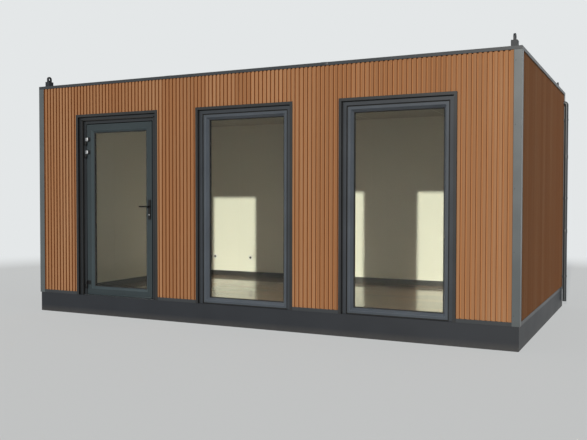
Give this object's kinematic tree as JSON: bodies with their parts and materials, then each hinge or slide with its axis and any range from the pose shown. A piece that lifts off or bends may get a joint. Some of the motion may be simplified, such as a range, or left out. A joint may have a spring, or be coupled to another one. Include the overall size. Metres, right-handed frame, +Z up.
{
  "type": "prefabricated container cabin",
  "caption": "Flat-roofed steel-framed cabin clad in fluted boards, with a glazed lever-handled door and full-height fixed windows on its long front.",
  "frame": {"origin": "centre of the cabin's footprint at ground level", "axes": "+X along the long front to the right seen from outside, +Y from the front to the rear, +Z up"},
  "size_m": [6.116, 3.5, 3.0319],
  "materials": {
    "frame_steel": "satin powder coat",
    "trim_metal": "satin powder coat",
    "frame_aluminium": "satin powder coat",
    "cladding_board": "brushed",
    "wall_lining": "matt",
    "ceiling_lining": "matt",
    "roof_membrane": "matt",
    "deck_plywood": "raw",
    "laminate": "satin",
    "skirting_paint": "satin",
    "glazing": "clear",
    "hardware_steel": "brushed",
    "pipe_plastic": "satin",
    "socket_plastic": "gloss"
  },
  "bodies": {
    "cabin": {"base_front_beam": "frame_steel", "base_rear_beam": "frame_steel", "base_side_beams": "frame_steel", "floor_joists": "frame_steel", "floor_deck": "deck_plywood", "flooring": "laminate", "corner_posts": "frame_steel", "top_front_rail": "frame_steel", "top_rear_rail": "frame_steel", "top_side_rails": "frame_steel", "roof_panel": "roof_membrane", "ceiling_panel": "ceiling_lining", "roof_cap": "trim_metal", "lifting_lugs": "frame_steel", "front_wall_piers": "wall_lining", "front_wall_header": "wall_lining", "left_wall": "wall_lining", "right_wall": "wall_lining", "rear_wall": "wall_lining", "cladding_front_header": "cladding_board", "cladding_front_piers": "cladding_board", "cladding_left": "cladding_board", "cladding_right": "cladding_board", "cladding_rear": "cladding_board", "corner_trims": "trim_metal", "bottom_trim": "trim_metal", "opening_surrounds": "trim_metal", "skirting_boards": "skirting_paint", "window_1_frame": "frame_aluminium", "window_1_sash": "frame_aluminium", "window_2_frame": "frame_aluminium", "window_2_sash": "frame_aluminium", "window_glass": "glazing", "door_jambs": "frame_aluminium", "door_head": "frame_aluminium", "door_threshold": "frame_aluminium", "hinge_frame_halves": "hardware_steel", "downpipe": "pipe_plastic", "downpipe_clips": "pipe_plastic", "wall_sockets": "socket_plastic"},
    "door": {"door_leaf": "frame_aluminium", "door_glass": "glazing", "hinge_leaf_halves": "hardware_steel", "handle_backplates": "hardware_steel", "lock_cylinder": "hardware_steel"},
    "lever": {"lever_handles": "hardware_steel"}
  },
  "joints": [
    {"name": "door_hinge", "type": "hinge", "parent": "cabin", "child": "door", "pos_m": [-2.2965, -1.697, 1.3], "axis": [0, 0, -1], "range_deg": [0, 100]},
    {"name": "lever_turn", "type": "hinge", "parent": "door", "child": "lever", "pos_m": [-1.322, -1.655, 1.358], "axis": [0, -1, 0], "range_deg": [0, 45], "stiffness_Nm_per_rad": 2, "springref_deg": -22.92}
  ]
}
